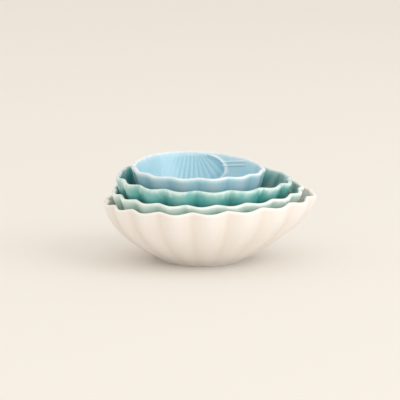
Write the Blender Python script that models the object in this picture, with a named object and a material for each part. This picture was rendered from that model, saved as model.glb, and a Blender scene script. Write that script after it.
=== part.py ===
"""Nest of four fluted ceramic bowls, each one standing in the next larger.

Every bowl is one slip-cast and fired shell: a low foot ring, a fluted wall and
a waved rim that is drawn out into a shallow lip. Metres, +Z up.
"""
import math

import bmesh
import bpy
import numpy as np

# Sizes of the set, driven by the largest bowl.
LARGEST_RADIUS = 0.0610     # centre to rim, on the side away from the lip
LARGEST_HEIGHT = 0.0374     # table to rim, on the side away from the lip
RIM_WALL = 0.0027           # wall at the rim, rolled over in a half round
FLOOR = 0.0050              # base plate above the foot recess
FOOT_HEIGHT = 0.0010        # foot ring below the base plate
FOOT_RING = 0.0034          # width of the standing ring
RIM_FLARE = 0.0012          # outward flick of the last few millimetres
FLUTE_DEPTH = 0.0024        # crown of a lobe to the groove beside it, at the rim
RIM_WAVE = 0.0014           # rise and fall of the rim over one lobe
CLEARANCE = 0.0003          # free air between a bowl and the one it stands in

# Shape of the section and of the flutes.
FOOT_SHARE = 0.43           # foot radius over rim radius
FLOOR_COVE = 0.0015         # how far the floor runs out past the foot
CURVE_OUTSIDE = 1.95        # 1 is a straight cone, higher turns up sooner
CURVE_INSIDE = 2.05
FOOT_FLUTES = 0.35          # flutes at the foot over flutes at the rim
GROOVE_TIGHTNESS = 0.75     # below 1 the grooves are tighter than the crowns

# Fineness of the mesh.
FACETS_PER_LOBE = 6
WALL_STEPS = 6
RIM_STEPS = 4

# Radius, height and flutes are shares of the largest bowl's. Turns are in
# degrees: the lip from +X, the first lobe and the highest point of the rim
# from the lip. A low spread makes a broad lip or rise, and plain lip is how
# far the flutes die out towards the lip. Drift is how far along X a bowl
# stands off the middle of the one below.
BOWLS = [
    {"name": "white_bowl", "colour": (0.86, 0.80, 0.73), "radius": 1.0, "height": 1.0, "drift": 0.0,
     "lobes": 18, "flutes": 1.0, "plain_lip": 0.0, "lip_turn": 13.0, "first_lobe": 1.2, "rise_turn": 0.0,
     "lip_reach": 0.0092, "reach_spread": 2.0, "lip_rise": 0.0047, "rise_spread": 1.0},
    {"name": "mint_bowl", "colour": (0.66, 0.80, 0.74), "radius": 0.918, "height": 0.972, "drift": 0.0,
     "lobes": 19, "flutes": 0.75, "plain_lip": 0.0, "lip_turn": 23.0, "first_lobe": 0.0, "rise_turn": 52.0,
     "lip_reach": 0.0072, "reach_spread": 2.0, "lip_rise": 0.0048, "rise_spread": 1.0},
    {"name": "teal_bowl", "colour": (0.20, 0.52, 0.50), "radius": 0.850, "height": 1.018, "drift": -0.0014,
     "lobes": 16, "flutes": 0.7, "plain_lip": 0.0, "lip_turn": 13.0, "first_lobe": -4.0, "rise_turn": 109.5,
     "lip_reach": 0.0055, "reach_spread": 2.0, "lip_rise": 0.0052, "rise_spread": 2.0},
    {"name": "blue_bowl", "colour": (0.47, 0.67, 0.78), "radius": 0.678, "height": 1.017, "drift": -0.0011,
     "lobes": 14, "flutes": 0.5, "plain_lip": 0.9, "lip_turn": 97.0, "first_lobe": 6.0, "rise_turn": 13.0,
     "lip_reach": 0.0020, "reach_spread": 8.0, "lip_rise": 0.0056, "rise_spread": 2.0},
]


def clear_scene():
    for item in list(bpy.data.objects):
        bpy.data.objects.remove(item, do_unlink=True)


def new_collection(name):
    group = bpy.data.collections.new(name)
    bpy.context.scene.collection.children.link(group)
    return group


def glaze(name, colour):
    """One fired glaze: smooth, a little soft in its shine, no metal."""
    material = bpy.data.materials.new(name)
    material.use_nodes = True
    shader = material.node_tree.nodes["Principled BSDF"]
    shader.inputs["Base Color"].default_value = (*colour, 1.0)
    shader.inputs["Roughness"].default_value = 0.28
    shader.inputs["Metallic"].default_value = 0.0
    return material


def wall_stations(foot, rim, base, top, curve):
    """One face of the wall, rising from the base to the rim, as (radius,
    height, share of the climb)."""
    stations = []
    for step in range(WALL_STEPS + 1):
        climb = step / WALL_STEPS
        bow = 1 - (1 - climb) ** curve
        radius = foot + bow * (rim - RIM_FLARE - foot) + RIM_FLARE * climb ** 8
        stations.append((radius, base + climb * (top - base), climb))
    return stations


def section(bowl):
    """Half section before fluting: under the foot, up the outside, over the
    rim and down the inside to the floor, as (radius, height, flute share)."""
    radius = LARGEST_RADIUS * bowl["radius"]
    height = LARGEST_HEIGHT * bowl["height"]
    foot = radius * FOOT_SHARE
    floor = FOOT_HEIGHT + FLOOR
    roll = RIM_WALL / 2
    top = height - roll
    stations = [
        (foot - FOOT_RING - FOOT_HEIGHT / 2, FOOT_HEIGHT, 0.0),
        (foot - FOOT_RING, 0.0, 0.0),
        (foot - FOOT_HEIGHT, 0.0, FOOT_FLUTES),
    ]
    for r, z, climb in wall_stations(foot, radius, FOOT_HEIGHT, top, CURVE_OUTSIDE):
        stations.append((r, z, 1 - (1 - FOOT_FLUTES) * (1 - climb) ** 3))
    for step in range(1, RIM_STEPS):
        turn = math.pi * step / RIM_STEPS
        stations.append((radius - roll + roll * math.cos(turn), top + roll * math.sin(turn), 1.0))
    inside = wall_stations(foot + FLOOR_COVE, radius - RIM_WALL, floor, top, CURVE_INSIDE)
    for r, z, climb in reversed(inside):
        stations.append((r, z, climb ** 4))
    return stations


def surface_point(bowl, station, angle):
    """Radius and height of a station at an angle counted from the lip."""
    radius, tall, flutes = station
    floor = FOOT_HEIGHT + FLOOR
    share = max(0.0, (tall - floor) / (LARGEST_HEIGHT * bowl["height"] - floor))
    lobe_turn = bowl["lobes"] * (angle - math.radians(bowl["first_lobe"]))
    lobe = 2 * ((1 + math.cos(lobe_turn)) / 2) ** GROOVE_TIGHTNESS - 1
    facing = (1 + math.cos(angle)) / 2
    rising = (1 + math.cos(angle - math.radians(bowl["rise_turn"]))) / 2
    lobe *= flutes * bowl["flutes"] * (1 - bowl["plain_lip"] * facing)
    radius += lobe * FLUTE_DEPTH / 2
    radius += bowl["lip_reach"] * facing ** bowl["reach_spread"] * share ** 2 * (3 - 2 * share)
    tall -= lobe * share ** 6 * RIM_WAVE / 2
    tall += bowl["lip_rise"] * rising ** bowl["rise_spread"] * share ** 2
    return radius, tall


def build_shell(bowl):
    """Loft the round foot into the fluted, lipped rim and back to the floor."""
    facets = bowl["lobes"] * FACETS_PER_LOBE
    turns = [2 * math.pi * step / facets for step in range(facets)]
    stations = section(bowl)
    shell = bmesh.new()
    rings = []
    for station in stations:
        ring = []
        for turn in turns:
            radius, tall = surface_point(bowl, station, turn)
            ring.append(shell.verts.new((radius * math.cos(turn), radius * math.sin(turn), tall)))
        rings.append(ring)
    under = shell.verts.new((0.0, 0.0, stations[0][1]))
    floor = shell.verts.new((0.0, 0.0, stations[-1][1]))
    for step in range(facets):
        ahead = (step + 1) % facets
        shell.faces.new((under, rings[0][ahead], rings[0][step]))
        for low, high in zip(rings, rings[1:]):
            shell.faces.new((low[step], low[ahead], high[ahead], high[step]))
        shell.faces.new((floor, rings[-1][step], rings[-1][ahead]))
    mesh = bpy.data.meshes.new(bowl["name"])
    shell.to_mesh(mesh)
    shell.free()
    return mesh


def face_line(bowl, heading, inside):
    """Radii and heights of the inner or the outer face along one heading."""
    angle = heading - math.radians(bowl["lip_turn"])
    stations = section(bowl)
    crest = len(stations) - WALL_STEPS - 1 - RIM_STEPS // 2
    part = stations[:crest - 1:-1] if inside else stations[2:crest + 1]
    radii, heights = zip(*(surface_point(bowl, station, angle) for station in part))
    return np.array(radii), np.array(heights)


def seat_height(lower, upper):
    """Lift of a bowl over the one it stands in, clear of floor, wall and rim."""
    lift = 0.0
    for step in range(360):
        heading = math.radians(step)
        under_radii, under_heights = face_line(lower, heading, True)
        over_radii, over_heights = face_line(upper, heading, False)
        over_radii = over_radii + upper["drift"] * math.cos(heading)
        for spare in (0.0, CLEARANCE):
            radii = np.union1d(under_radii, over_radii + spare)
            under = np.interp(radii, under_radii, under_heights, right=-1.0)
            over = np.interp(radii - spare, over_radii, over_heights, right=1.0)
            lift = max(lift, float(np.max(under - over)))
    return lift + CLEARANCE


def middle_of_rims():
    """Middle of the outline of all the rims, seen from above."""
    outline = []
    for bowl in BOWLS:
        crest = section(bowl)[3 + WALL_STEPS]
        facets = bowl["lobes"] * FACETS_PER_LOBE
        for step in range(facets):
            turn = 2 * math.pi * step / facets
            radius, _ = surface_point(bowl, crest, turn)
            heading = turn + math.radians(bowl["lip_turn"])
            outline.append((radius * math.cos(heading), radius * math.sin(heading)))
    outline = np.array(outline)
    return (outline.min(axis=0) + outline.max(axis=0)) / 2


def build_nest():
    nest = new_collection("nest_of_bowls")
    middle = middle_of_rims()
    seat = bpy.data.objects.new("nest_seat", None)
    seat.location = (-middle[0], -middle[1], 0.0)
    nest.objects.link(seat)
    for index, bowl in enumerate(BOWLS):
        if index:
            lift = seat_height(BOWLS[index - 1], bowl)
            next_seat = bpy.data.objects.new(bowl["name"] + "_seat", None)
            next_seat.parent = seat
            next_seat.location = (bowl["drift"], 0.0, lift)
            nest.objects.link(next_seat)
            seat = next_seat
        mesh = build_shell(bowl)
        mesh.materials.append(glaze(bowl["name"] + "_glaze", bowl["colour"]))
        mesh.polygons.foreach_set("use_smooth", [True] * len(mesh.polygons))
        mesh.set_sharp_from_angle(angle=math.radians(50))
        shell = bpy.data.objects.new(bowl["name"], mesh)
        shell.parent = seat
        shell.rotation_euler = (0.0, 0.0, math.radians(bowl["lip_turn"]))
        nest.objects.link(shell)


clear_scene()
build_nest()
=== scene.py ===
import math

import bpy
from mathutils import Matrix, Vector


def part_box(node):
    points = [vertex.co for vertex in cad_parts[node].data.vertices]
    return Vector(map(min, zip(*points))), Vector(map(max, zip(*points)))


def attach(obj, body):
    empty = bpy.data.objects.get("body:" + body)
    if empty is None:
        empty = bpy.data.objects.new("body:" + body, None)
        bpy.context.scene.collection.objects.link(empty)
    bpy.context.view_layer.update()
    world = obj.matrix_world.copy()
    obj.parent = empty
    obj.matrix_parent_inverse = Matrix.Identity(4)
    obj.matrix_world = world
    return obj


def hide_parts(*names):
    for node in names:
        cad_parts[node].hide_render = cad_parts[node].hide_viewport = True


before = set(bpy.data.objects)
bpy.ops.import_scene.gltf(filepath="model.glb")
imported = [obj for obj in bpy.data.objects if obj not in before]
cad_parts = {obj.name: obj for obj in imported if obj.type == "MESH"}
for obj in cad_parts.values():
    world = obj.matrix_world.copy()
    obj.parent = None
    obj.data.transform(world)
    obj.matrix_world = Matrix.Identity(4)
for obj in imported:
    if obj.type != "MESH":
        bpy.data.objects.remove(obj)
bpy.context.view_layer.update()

# ---- Largest bowl, white -------------------------------------------------------
# The largest casting of the nest: pale clay slip cast in a fluted plaster mould,
# fettled at the rim, and dipped in a satin warm white glaze. It stands on the table.


class Number:
    """A number in a node tree, so that a rule of the shape reads as a plain sum."""

    def __init__(self, tree, socket):
        self.tree = tree
        self.socket = socket

    def work(self, operation, *others):
        """The outcome of one maths node that has this number in its first slot."""
        node = self.tree.nodes.new("ShaderNodeMath")
        node.operation = operation
        for slot, term in zip(node.inputs, (self, *others)):
            feed(self.tree, term, slot)
        return Number(self.tree, node.outputs["Value"])

    def __add__(self, other):
        return self.work("ADD", other)

    def __sub__(self, other):
        return self.work("SUBTRACT", other)

    def __rsub__(self, other):
        return self.work("MULTIPLY_ADD", -1.0, other)

    def __mul__(self, other):
        return self.work("MULTIPLY", other)

    def __truediv__(self, other):
        return self.work("DIVIDE", other)

    def __pow__(self, other):
        return self.work("POWER", other)

    def __abs__(self):
        return self.work("ABSOLUTE")

    def cos(self):
        return self.work("COSINE")

    def sin(self):
        return self.work("SINE")

    def above(self, least):
        """This number, or the least value where it is less."""
        return self.work("MAXIMUM", least)

    def below(self, most):
        """This number, or the greatest value where it is more."""
        return self.work("MINIMUM", most)


def feed(tree, term, slot):
    """Link a number or a socket into a slot, or set the slot to a plain value."""
    if isinstance(term, Number):
        tree.links.new(term.socket, slot)
    elif isinstance(term, bpy.types.NodeSocket):
        tree.links.new(term, slot)
    else:
        slot.default_value = term


def node_with(tree, kind, settings=(), **inputs):
    """A new node with its settings and its inputs, named with _ for a space."""
    node = tree.nodes.new(kind)
    for name, value in dict(settings).items():
        setattr(node, name, value)
    for name, term in inputs.items():
        feed(tree, term, node.inputs[name.replace("_", " ")])
    return node


def keep(tree, shape, name, number):
    """Store a number on the points of a shape for later steps and for the glaze."""
    store = node_with(tree, "GeometryNodeStoreNamedAttribute", {"data_type": "FLOAT"},
                      Geometry=shape, Name=name, Value=number)
    return store.outputs["Geometry"]


def kept(tree, name):
    """Read a stored number back."""
    node = node_with(tree, "GeometryNodeInputNamedAttribute", {"data_type": "FLOAT"}, Name=name)
    return Number(tree, node.outputs["Attribute"])


def moved(tree, shape, x, y, z):
    """Put the points of a shape at a new place."""
    place = node_with(tree, "ShaderNodeCombineXYZ", X=x, Y=y, Z=z)
    step = node_with(tree, "GeometryNodeSetPosition", Geometry=shape, Position=place.outputs[0])
    return step.outputs["Geometry"]


def coordinates(tree):
    """Where a point is, as three numbers."""
    split = tree.nodes.new("ShaderNodeSeparateXYZ")
    tree.links.new(tree.nodes.new("GeometryNodeInputPosition").outputs[0], split.inputs[0])
    return [Number(tree, socket) for socket in split.outputs]


BOWL_SIZES = {
    "Rim Radius": 0.0610, "Height": 0.0374, "Rim Wall": 0.0027, "Floor": 0.0050,
    "Foot Height": 0.0010, "Foot Ring": 0.0034, "Foot Share": 0.43, "Floor Cove": 0.0015,
    "Foot Roundness": 3.5, "Foot Flutes": 0.35, "Rim Flare": 0.0012, "Curve Outside": 1.95,
    "Curve Inside": 2.05, "Lobes": 18.0, "First Lobe": 1.2, "Flute Depth": 0.0024,
    "Rim Wave": 0.0014, "Groove Tightness": 0.75, "Plain Lip": 0.0, "Lip Turn": 13.0,
    "Lip Reach": 0.0092, "Reach Spread": 2.0, "Lip Rise": 0.0047, "Rise Turn": 0.0,
    "Rise Spread": 1.0, "Facets per Lobe": 18.0, "Under Steps": 8.0, "Foot Steps": 17.0,
    "Outside Steps": 40.0, "Rim Steps": 13.0, "Inside Steps": 40.0, "Floor Steps": 12.0,
}


def build_bowl_tree():
    """The rule that every bowl of the nest follows, as one tree of named sizes."""
    tree = bpy.data.node_groups.new("fluted_bowl", "GeometryNodeTree")
    for name, size in BOWL_SIZES.items():
        socket = tree.interface.new_socket(name, in_out="INPUT", socket_type="NodeSocketFloat")
        socket.default_value = size
    tree.interface.new_socket("Glaze", in_out="INPUT", socket_type="NodeSocketMaterial")
    tree.interface.new_socket("Bowl", in_out="OUTPUT", socket_type="NodeSocketGeometry")
    given = tree.nodes.new("NodeGroupInput")
    size = {name: Number(tree, given.outputs[name]) for name in BOWL_SIZES}
    foot = size["Rim Radius"] * size["Foot Share"]
    floor = size["Foot Height"] + size["Floor"]
    roll = size["Rim Wall"] * 0.5
    top = size["Height"] - roll
    recess = foot - size["Foot Ring"] - size["Foot Height"] * 0.5
    inner_foot = foot + size["Floor Cove"]
    facets = size["Lobes"] * size["Facets per Lobe"]
    strips = tree.nodes.new("GeometryNodeJoinGeometry")

    def turn_strip(steps, rule):
        """One strip of the turned section, laid out flat as radius, turn and height.
        The rule gives radius, height, share of the flutes, and 0 outside to 1 inside."""
        grid = node_with(tree, "GeometryNodeMeshGrid", Size_X=1.0, Size_Y=1.0,
                         Vertices_X=steps, Vertices_Y=facets + 1.0)
        x, y, _ = coordinates(tree)
        radius, height, flutes, face = rule(x + 0.5)
        shape = keep(tree, grid.outputs["Mesh"], "flutes", flutes)
        shape = keep(tree, shape, "face", face)
        shape = moved(tree, shape, radius, (y + 0.5) * (2 * math.pi), height)
        tree.links.new(shape, strips.inputs[0])

    def under_foot(t):
        return recess * t, size["Foot Height"], 0.0, 0.0

    def foot_ring(t):
        side = abs(t * 2.0 - 1.0)
        flutes = (t * 3.0 - 2.0).above(0.0) * size["Foot Flutes"]
        height = size["Foot Height"] * side ** size["Foot Roundness"]
        return recess + (foot - recess) * t, height, flutes, 0.0

    def wall(start, end, base, curve, t):
        bow = 1.0 - (1.0 - t).above(0.0) ** curve
        radius = start + bow * (end - size["Rim Flare"] - start) + size["Rim Flare"] * t ** 8.0
        return radius, base + t * (top - base)

    def outside(t):
        radius, height = wall(foot, size["Rim Radius"], size["Foot Height"], size["Curve Outside"], t)
        plain = (1.0 - size["Foot Flutes"]) * (1.0 - t).above(0.0) ** 3.0
        return radius, height, 1.0 - plain, 0.0

    def rolled_rim(t):
        turn = t * math.pi
        return size["Rim Radius"] - roll + roll * turn.cos(), top + roll * turn.sin(), 1.0, t

    def inside(t):
        climb = (1.0 - t).above(0.0)
        radius, height = wall(inner_foot, size["Rim Radius"] - size["Rim Wall"], floor,
                              size["Curve Inside"], climb)
        return radius, height, climb ** 4.0, 1.0

    def inner_floor(t):
        return inner_foot * (1.0 - t), floor, 0.0, 1.0

    turn_strip(size["Under Steps"], under_foot)
    turn_strip(size["Foot Steps"], foot_ring)
    turn_strip(size["Outside Steps"], outside)
    turn_strip(size["Rim Steps"], rolled_rim)
    turn_strip(size["Inside Steps"], inside)
    turn_strip(size["Floor Steps"], inner_floor)

    radius, turn, height = coordinates(tree)
    flutes = kept(tree, "flutes")
    share = ((height - floor) / (size["Height"] - floor)).above(0.0)
    first = size["First Lobe"] * (math.pi / 180)
    swing = (size["Lobes"] * (turn - first)).cos()
    lobe = ((swing + 1.0) * 0.5).above(0.0) ** size["Groove Tightness"] * 2.0 - 1.0
    facing = ((turn.cos() + 1.0) * 0.5).above(0.0)
    from_rise = turn - size["Rise Turn"] * (math.pi / 180)
    rising = ((from_rise.cos() + 1.0) * 0.5).above(0.0)
    lobe = lobe * flutes * (1.0 - size["Plain Lip"] * facing)
    bent_radius = (radius + lobe * size["Flute Depth"] * 0.5
                   + size["Lip Reach"] * facing ** size["Reach Spread"]
                   * share * share * (3.0 - share * 2.0))
    bent_height = (height - lobe * share ** 6.0 * size["Rim Wave"] * 0.5
                   + size["Lip Rise"] * rising ** size["Rise Spread"] * share * share)
    heading = turn + size["Lip Turn"] * (math.pi / 180)
    shape = keep(tree, strips.outputs["Geometry"], "crown", lobe)
    shape = keep(tree, shape, "share", share)
    shape = moved(tree, shape, bent_radius * heading.cos(), bent_radius * heading.sin(), bent_height)
    # Closes the seams between the strips, the seam of the turn, and both poles.
    shape = node_with(tree, "GeometryNodeMergeByDistance", Geometry=shape, Distance=2e-6).outputs[0]
    shape = node_with(tree, "GeometryNodeFlipFaces", Mesh=shape).outputs[0]
    shape = node_with(tree, "GeometryNodeSetShadeSmooth", Geometry=shape).outputs[0]
    shape = node_with(tree, "GeometryNodeRealizeInstances", Geometry=shape).outputs[0]
    shape = node_with(tree, "GeometryNodeSetMaterial", Geometry=shape,
                      Material=given.outputs["Glaze"]).outputs[0]
    tree.links.new(shape, tree.nodes.new("NodeGroupOutput").inputs["Bowl"])
    return tree


def run_tree(holder, tree, sizes):
    """Put a tree on an object with its sizes set, and return the plain mesh it makes."""
    step = holder.modifiers.new(tree.name, "NODES")
    step.node_group = tree
    for item in tree.interface.items_tree:
        if item.in_out == "INPUT" and item.name in sizes:
            step[item.identifier] = sizes[item.name]
    graph = bpy.context.evaluated_depsgraph_get()
    mesh = bpy.data.meshes.new_from_object(holder.evaluated_get(graph), depsgraph=graph)
    holder.modifiers.remove(step)
    return mesh


def cast_bowl(name, sizes, glaze):
    """Cast one bowl by the rule, round its own axis."""
    bowl = bpy.data.objects.new(name, bpy.data.meshes.new(name))
    bpy.context.scene.collection.objects.link(bowl)
    bowl.data = run_tree(bowl, bowl_tree, {**sizes, "Glaze": glaze})
    return bowl


def hand_over(bowl, node, body):
    """Set a bowl where its CAD node stands, and hand it over in its place."""
    low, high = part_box(node)
    corners = [Vector(corner) for corner in bowl.bound_box]
    own_low = Vector(map(min, *corners))
    own_high = Vector(map(max, *corners))
    shift = ((Vector(low) + Vector(high)) - (own_low + own_high)) / 2
    shift.z = low[2] - own_low.z
    for point in bowl.data.vertices:
        point.co += shift
    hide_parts(node)
    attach(bowl, body)


def build_glaze_and_shading():
    """Where a glaze runs thin over rims and crowns, and where it pools, with painted highlight on
    crowns and raised relief and painted shade in grooves, low on the wall and inside.
    """
    group = bpy.data.node_groups.new("glaze_break_and_shading", "ShaderNodeTree")
    for name, value in (("Rim Width", 0.10), ("Crown Thinning and Highlight", 0.25), ("Low Pooling and Shade", 0.6),
                        ("Groove Pooling and Shade", 0.4), ("Inside Pooling and Shade", 1.0), ("Unevenness", 0.15)):
        socket = group.interface.new_socket(name, in_out="INPUT", socket_type="NodeSocketFloat")
        socket.default_value = value
    for name in ("Thin and Highlight", "Pool and Shade", "Ripple"):
        group.interface.new_socket(name, in_out="OUTPUT", socket_type="NodeSocketFloat")
    given = group.nodes.new("NodeGroupInput")
    rim_width = Number(group, given.outputs["Rim Width"])
    crown_thin_and_highlight = Number(group, given.outputs["Crown Thinning and Highlight"])
    low_pool_and_shade = Number(group, given.outputs["Low Pooling and Shade"])
    groove_pool_and_shade = Number(group, given.outputs["Groove Pooling and Shade"])
    inside_pool_and_shade = Number(group, given.outputs["Inside Pooling and Shade"])
    unevenness = Number(group, given.outputs["Unevenness"])
    place = group.nodes.new("ShaderNodeTexCoord").outputs["Object"]

    def attribute(name):
        node = group.nodes.new("ShaderNodeAttribute")
        node.attribute_name = name
        return Number(group, node.outputs["Fac"])

    # Drawn out along Z, so that clouds on it become runs down the wall.
    runs = node_with(group, "ShaderNodeMapping", Vector=place, Scale=(1.0, 1.0, 0.28))

    def cloud(where, scale, detail):
        """Soft patches, from about -0.5 to 0.5."""
        node = node_with(group, "ShaderNodeTexNoise", Vector=where, Scale=scale, Detail=detail)
        return Number(group, node.outputs[0]) - 0.5

    share = attribute("share")
    crown = attribute("crown")
    face = attribute("face")
    relief = attribute("relief")
    drift = (cloud(place, 90.0, 3.0) + cloud(runs.outputs[0], 240.0, 2.0)) * unevenness * 2.0
    rim = ((share - 1.0 + rim_width) / rim_width + drift * 2.0).above(0.0).below(1.0)
    # Lobe crowns are painted lighter: partly thin glaze over the ridges, partly a painted highlight
    # where the crowns catch the light.
    ridge_thin_and_highlight = (crown.above(0.0) * crown_thin_and_highlight * share + drift * 0.5).above(0.0)
    # Relief is in millimetres. Where it stands up it is painted lighter, a painted highlight on the
    # raised shell border and lines; where it is sunk the glaze pools.
    raised = relief.above(0.0) * 0.9
    low = (1.0 - share).above(0.0).below(1.0)
    groove = (crown * -1.0).above(0.0)
    sunk = (relief * -1.0).above(0.0) * 0.7
    # Darker where the glaze pools, and painted shade: in the flute grooves, low on the wall, and
    # deeper inside the bowl where the gaps of the nest lie in shade.
    pool_and_shade = (low * (low_pool_and_shade + face * inside_pool_and_shade) + groove * groove * groove_pool_and_shade
            + sunk + drift).above(0.0).below(1.0)
    out = group.nodes.new("NodeGroupOutput")
    feed(group, (rim * rim + ridge_thin_and_highlight + raised).below(1.0), out.inputs["Thin and Highlight"])
    feed(group, pool_and_shade, out.inputs["Pool and Shade"])
    feed(group, cloud(place, 260.0, 2.0) + cloud(place, 900.0, 1.0) * 0.35, out.inputs["Ripple"])
    return group


def blend(tree, factor, first, second):
    """A colour part of the way from the first to the second."""
    mix = node_with(tree, "ShaderNodeMix", {"data_type": "RGBA"})
    for term, slot in zip((factor, first, second), (mix.inputs[0], mix.inputs[6], mix.inputs[7])):
        feed(tree, term, slot)
    return mix.outputs[2]


def mix_glaze(name, body, thin_and_highlight, pool_and_shade, roughness, coat, wear_and_shading):
    """A fired glaze that shows the clay where it is thin and deepens where it pools, with painted
    highlight on crowns and raised relief and painted shade in grooves, low on the wall and inside.
    """
    glaze = bpy.data.materials.new(name)
    glaze.use_nodes = True
    tree = glaze.node_tree
    shader = tree.nodes["Principled BSDF"]
    fired = tree.nodes.new("ShaderNodeGroup")
    fired.node_tree = glaze_break_and_shading
    for size, value in wear_and_shading.items():
        fired.inputs[size].default_value = value
    # The pooled colour also serves as painted shade, and the thin colour as painted highlight.
    pooled_and_shaded = blend(tree, fired.outputs["Pool and Shade"], (*body, 1.0), (*pool_and_shade, 1.0))
    thinned_and_lit = blend(tree, fired.outputs["Thin and Highlight"], pooled_and_shaded, (*thin_and_highlight, 1.0))
    tree.links.new(thinned_and_lit, shader.inputs["Base Color"])
    gloss = Number(tree, fired.outputs["Thin and Highlight"]) * 0.10 + Number(tree, fired.outputs["Ripple"]) * 0.06
    feed(tree, gloss + roughness, shader.inputs["Roughness"])
    shader.inputs["Coat Weight"].default_value = coat
    shader.inputs["Coat Roughness"].default_value = 0.08
    bump = node_with(tree, "ShaderNodeBump", Height=fired.outputs["Ripple"], Strength=0.25,
                     Distance=0.0004)
    tree.links.new(bump.outputs["Normal"], shader.inputs["Normal"])
    return glaze


bowl_tree = build_bowl_tree()
glaze_break_and_shading = build_glaze_and_shading()
# On the white bowl the lighter lobe crowns and the pinkish darker grooves are painted highlight and
# painted shade of the flutes.
white_glaze = mix_glaze(
    "white_satin_glaze", body=(0.875, 0.83, 0.785), thin_and_highlight=(0.92, 0.90, 0.87),
    pool_and_shade=(0.80, 0.70, 0.61), roughness=0.42, coat=0.0,
    wear_and_shading={"Rim Width": 0.06, "Crown Thinning and Highlight": 0.6, "Low Pooling and Shade": 0.0, "Groove Pooling and Shade": 0.35,
          "Inside Pooling and Shade": 0.0, "Unevenness": 0.05})
white_bowl = cast_bowl("glazed_white_bowl", {}, white_glaze)
hand_over(white_bowl, "white_bowl", "largest")

# ---- Second bowl, mint ---------------------------------------------------------
# Cast from its own mould with one lobe more, and dipped in a thin celadon green
# that breaks almost white over the rim. It stands loose on the largest's floor.


def shares_of_largest(radius, height, flutes):
    """Sizes of a smaller bowl, from its shares of the largest one's."""
    return {"Rim Radius": BOWL_SIZES["Rim Radius"] * radius,
            "Height": BOWL_SIZES["Height"] * height,
            "Flute Depth": BOWL_SIZES["Flute Depth"] * flutes,
            "Rim Wave": BOWL_SIZES["Rim Wave"] * flutes}


mint_glaze = mix_glaze(
    "mint_celadon_glaze", body=(0.50, 0.70, 0.64), thin_and_highlight=(0.84, 0.92, 0.89),
    pool_and_shade=(0.16, 0.42, 0.38), roughness=0.16, coat=0.3,
    wear_and_shading={"Rim Width": 0.16, "Crown Thinning and Highlight": 0.35, "Low Pooling and Shade": 0.6, "Groove Pooling and Shade": 0.35,
          "Inside Pooling and Shade": 1.0, "Unevenness": 0.18})
MINT_SIZES = {
    **shares_of_largest(radius=0.918, height=0.972, flutes=0.75),
    "Lobes": 19.0, "First Lobe": 0.0, "Lip Turn": 23.0, "Lip Reach": 0.0072,
    "Lip Rise": 0.0048, "Rise Turn": 52.0,
}
mint_bowl = cast_bowl("glazed_mint_bowl", MINT_SIZES, mint_glaze)
hand_over(mint_bowl, "mint_bowl", "second")

# ---- Third bowl, teal ----------------------------------------------------------
# Cast with broader lobes and a short lip to the right, its rim highest at the back.
# The copper green glaze is deep in the grooves, partly pooled glaze and partly painted shade, and
# runs thin to grey-white on the rim.

teal_glaze = mix_glaze(
    "teal_copper_glaze", body=(0.12, 0.47, 0.455), thin_and_highlight=(0.64, 0.82, 0.79),
    pool_and_shade=(0.0, 0.15, 0.15), roughness=0.14, coat=0.2,
    wear_and_shading={"Rim Width": 0.16, "Crown Thinning and Highlight": 0.22, "Low Pooling and Shade": 0.7, "Groove Pooling and Shade": 0.4,
          "Inside Pooling and Shade": 2.4, "Unevenness": 0.26})
TEAL_SIZES = {
    **shares_of_largest(radius=0.850, height=1.018, flutes=0.7),
    "Lobes": 16.0, "First Lobe": -4.0, "Lip Turn": 13.0, "Lip Reach": 0.0055,
    "Lip Rise": 0.0052, "Rise Turn": 109.5, "Rise Spread": 2.0,
}
teal_bowl = cast_bowl("glazed_teal_bowl", TEAL_SIZES, teal_glaze)
hand_over(teal_bowl, "teal_bowl", "third")

# ---- Smallest bowl, light blue -------------------------------------------------
# The smallest casting, glazed a clear light blue. Its mould is carved with a
# scallop shell and two fine lines that stand up inside the back of the wall.

RELIEF_SIZES = {
    "Rib Turn": 93.0, "Left Hinge": 0.0680, "Left Step": 4.6, "Right Hinge": 0.0460,
    "Right Step": 11.5, "Groove Depth": 0.00042, "Shell Turn": 89.0, "Shell Height": 0.0323,
    "Half Width": 0.0178, "Left Width": 0.0290, "Half Height": 0.0094, "Border Height": 0.0013,
    "Border Width": 0.0008, "Hollow": 0.0006, "Line Height": 0.0009, "Line Width": 0.00045,
    "Upper Line": 0.0368, "Lower Line": 0.0345, "Line Rise": 0.12, "Line Start": 0.0150,
    "Line End": 0.0330, "Start Fade": 0.0020, "End Fade": 0.0030,
}


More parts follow.
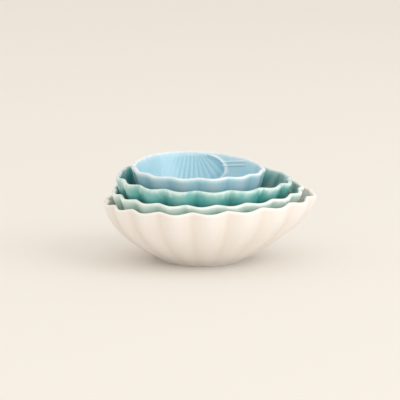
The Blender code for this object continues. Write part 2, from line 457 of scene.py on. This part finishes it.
def build_relief_tree():
    """Raise a ribbed scallop shell and two fine lines out of the inner wall."""
    tree = bpy.data.node_groups.new("scallop_relief", "GeometryNodeTree")
    tree.interface.new_socket("Bowl", in_out="INPUT", socket_type="NodeSocketGeometry")
    for name, size in RELIEF_SIZES.items():
        socket = tree.interface.new_socket(name, in_out="INPUT", socket_type="NodeSocketFloat")
        socket.default_value = size
    tree.interface.new_socket("Glaze", in_out="INPUT", socket_type="NodeSocketMaterial")
    tree.interface.new_socket("Bowl", in_out="OUTPUT", socket_type="NodeSocketGeometry")
    given = tree.nodes.new("NodeGroupInput")
    size = {name: Number(tree, given.outputs[name]) for name in RELIEF_SIZES}
    x, y, height = coordinates(tree)
    radius = (x * x + y * y) ** 0.5
    turn = y.work("ARCTAN2", x)

    def bell(distance, width):
        """1 on the line, falling softly to nothing a few widths away."""
        steps = distance / width
        return (steps * steps * -1.0).work("EXPONENT")

    def along(centre):
        """Way along the wall to the right of a heading, facing the back of the bowl."""
        return (centre * (math.pi / 180) - turn) * radius

    def ramp(value, start, end):
        """0 up to the start, 1 from the end on, with a soft way between."""
        t = ((value - start) / (end - start)).above(0.0).below(1.0)
        return t * t * (3.0 - t * 2.0)

    # The ribs fan out from two hinges above the rim. The left one is higher, so that the
    # ribs to the left of the middle stand nearly upright.
    least_drop = 0.002
    from_rib = along(size["Rib Turn"])
    left = from_rib.below(0.0)
    left_fan = left.work("ARCTAN2", (size["Left Hinge"] - height).above(least_drop))
    right = from_rib.above(0.0)
    right_fan = right.work("ARCTAN2", (size["Right Hinge"] - height).above(least_drop))
    ribs = (left_fan / size["Left Step"] + right_fan / size["Right Step"]) * (180 / math.pi)
    groove = ((1.0 - (ribs * (2 * math.pi)).cos()) * 0.5) ** 2.0

    # The shell is an ellipse, longer to the left, where its ribs die out. The distance
    # from its outline is counted in shares of its half size, about 12 mm.
    mean_size = 0.012
    across = along(size["Shell Turn"])
    up = height - size["Shell Height"]
    spread = across.above(0.0) / size["Half Width"] + across.below(0.0) / size["Left Width"]
    rise = up / size["Half Height"]
    shell = (spread * spread + rise * rise) ** 0.5
    within = 1.0 - ramp(shell, 0.80, 0.98)
    border = bell((shell - 1.0) * mean_size, size["Border Width"])
    right_side = ramp(spread, 0.1, 0.6)
    ribbed = within * (1.0 - ramp(spread * -1.0, 0.25, 0.75) * 0.8)
    hollow = within * ramp(shell, 0.55, 0.85) * right_side

    def line(level):
        """A fine raised line at a level, climbing a little to the right."""
        start, end = size["Line Start"], size["Line End"]
        start_fade, end_fade = size["Start Fade"], size["End Fade"]
        begun = ramp(across, start - start_fade, start + start_fade)
        ended = ramp(across, end - end_fade, end + end_fade)
        off_line = height - level - (across - start) * size["Line Rise"]
        return bell(off_line, size["Line Width"]) * begun * (1.0 - ended)

    lines = (line(size["Upper Line"]) + line(size["Lower Line"])) * size["Line Height"]
    raised = (border * right_side * size["Border Height"] - groove * ribbed * size["Groove Depth"]
              - hollow * size["Hollow"] + lines)
    raised = raised * kept(tree, "face").work("GREATER_THAN", 0.99)
    millimetres = 1000.0
    shape = keep(tree, given.outputs["Bowl"], "relief", raised * millimetres)
    normal = tree.nodes.new("GeometryNodeInputNormal").outputs[0]
    push = node_with(tree, "ShaderNodeVectorMath", {"operation": "SCALE"})
    tree.links.new(normal, push.inputs[0])
    feed(tree, raised, push.inputs["Scale"])
    step = node_with(tree, "GeometryNodeSetPosition", Geometry=shape, Offset=push.outputs[0])
    shape = node_with(tree, "GeometryNodeRealizeInstances", Geometry=step.outputs[0]).outputs[0]
    shape = node_with(tree, "GeometryNodeSetMaterial", Geometry=shape,
                      Material=given.outputs["Glaze"]).outputs[0]
    tree.links.new(shape, tree.nodes.new("NodeGroupOutput").inputs["Bowl"])
    return tree


blue_glaze = mix_glaze(
    "light_blue_glaze", body=(0.43, 0.69, 0.80), thin_and_highlight=(0.78, 0.87, 0.91),
    pool_and_shade=(0.22, 0.51, 0.66), roughness=0.18, coat=0.35,
    wear_and_shading={"Rim Width": 0.10, "Crown Thinning and Highlight": 0.35, "Low Pooling and Shade": 0.5, "Groove Pooling and Shade": 0.4,
          "Inside Pooling and Shade": -0.3, "Unevenness": 0.14})
BLUE_SIZES = {
    **shares_of_largest(radius=0.678, height=1.017, flutes=0.5),
    "Lobes": 14.0, "First Lobe": 6.0, "Plain Lip": 0.9, "Lip Turn": 97.0, "Lip Reach": 0.0020,
    "Reach Spread": 8.0, "Lip Rise": 0.0056, "Rise Turn": 13.0, "Rise Spread": 2.0,
    "Facets per Lobe": 40.0, "Outside Steps": 16.0, "Inside Steps": 100.0,
}
blue_bowl = cast_bowl("glazed_blue_bowl", BLUE_SIZES, blue_glaze)
blue_bowl.data = run_tree(blue_bowl, build_relief_tree(), {"Glaze": blue_glaze})
hand_over(blue_bowl, "blue_bowl", "smallest")

# ---- Table, light and camera ---------------------------------------------------
# A flat pale cream paper disc under soft studio light: one broad softbox from the
# right, a weaker low fill from the front, and an even cream surround.

bpy.ops.mesh.primitive_circle_add(vertices=96, radius=7.0, fill_type="NGON")
table = bpy.context.object
table.name = "cream_table"
paper = bpy.data.materials.new("cream_paper")
paper.use_nodes = True
matt = paper.node_tree.nodes["Principled BSDF"].inputs
matt["Base Color"].default_value = (0.84, 0.825, 0.79, 1.0)
matt["Roughness"].default_value = 0.9
matt["Specular IOR Level"].default_value = 0.1
table.data.materials.append(paper)

surround = bpy.data.worlds.new("cream_surround")
surround.use_nodes = True
glow = surround.node_tree.nodes["Background"].inputs
glow["Color"].default_value = (0.93, 0.875, 0.815, 1.0)
glow["Strength"].default_value = 1.04
bpy.context.scene.world = surround
bpy.context.scene.view_settings.view_transform = "Standard"

NEST_MIDDLE = Vector((0.0, 0.0, 0.03))


def hang_softbox(name, place, size, power, colour):
    """A round softbox that faces the middle of the nest."""
    lamp = bpy.data.lights.new(name, "AREA")
    lamp.shape = "DISK"
    lamp.size = size
    lamp.energy = power
    lamp.color = colour
    box = bpy.data.objects.new(name, lamp)
    box.location = place
    box.rotation_euler = (NEST_MIDDLE - Vector(place)).to_track_quat("-Z", "Y").to_euler()
    bpy.context.scene.collection.objects.link(box)


hang_softbox("right_softbox", place=(2.2, -1.1, 1.4), size=2.4, power=22.0, colour=(0.94, 0.97, 1.0))
hang_softbox("front_fill", place=(0.35, -1.3, 0.06), size=0.8, power=3.4, colour=(1.0, 0.96, 0.93))

LOOK_AT = Vector((-0.0059, 0.0, 0.0370))
ELEVATION = math.radians(9.5)
DISTANCE = 1.016
HALF_VIEW = math.radians(7.0)
lens = bpy.data.cameras.new("camera")
lens.lens = lens.sensor_width / 2 / math.tan(HALF_VIEW)
lens.clip_start = 0.01
camera = bpy.data.objects.new("camera", lens)
back = Vector((0.0, -math.cos(ELEVATION), math.sin(ELEVATION)))
camera.location = LOOK_AT + back * DISTANCE
camera.rotation_euler = (-back).to_track_quat("-Z", "Y").to_euler()
bpy.context.scene.collection.objects.link(camera)
bpy.context.scene.camera = camera
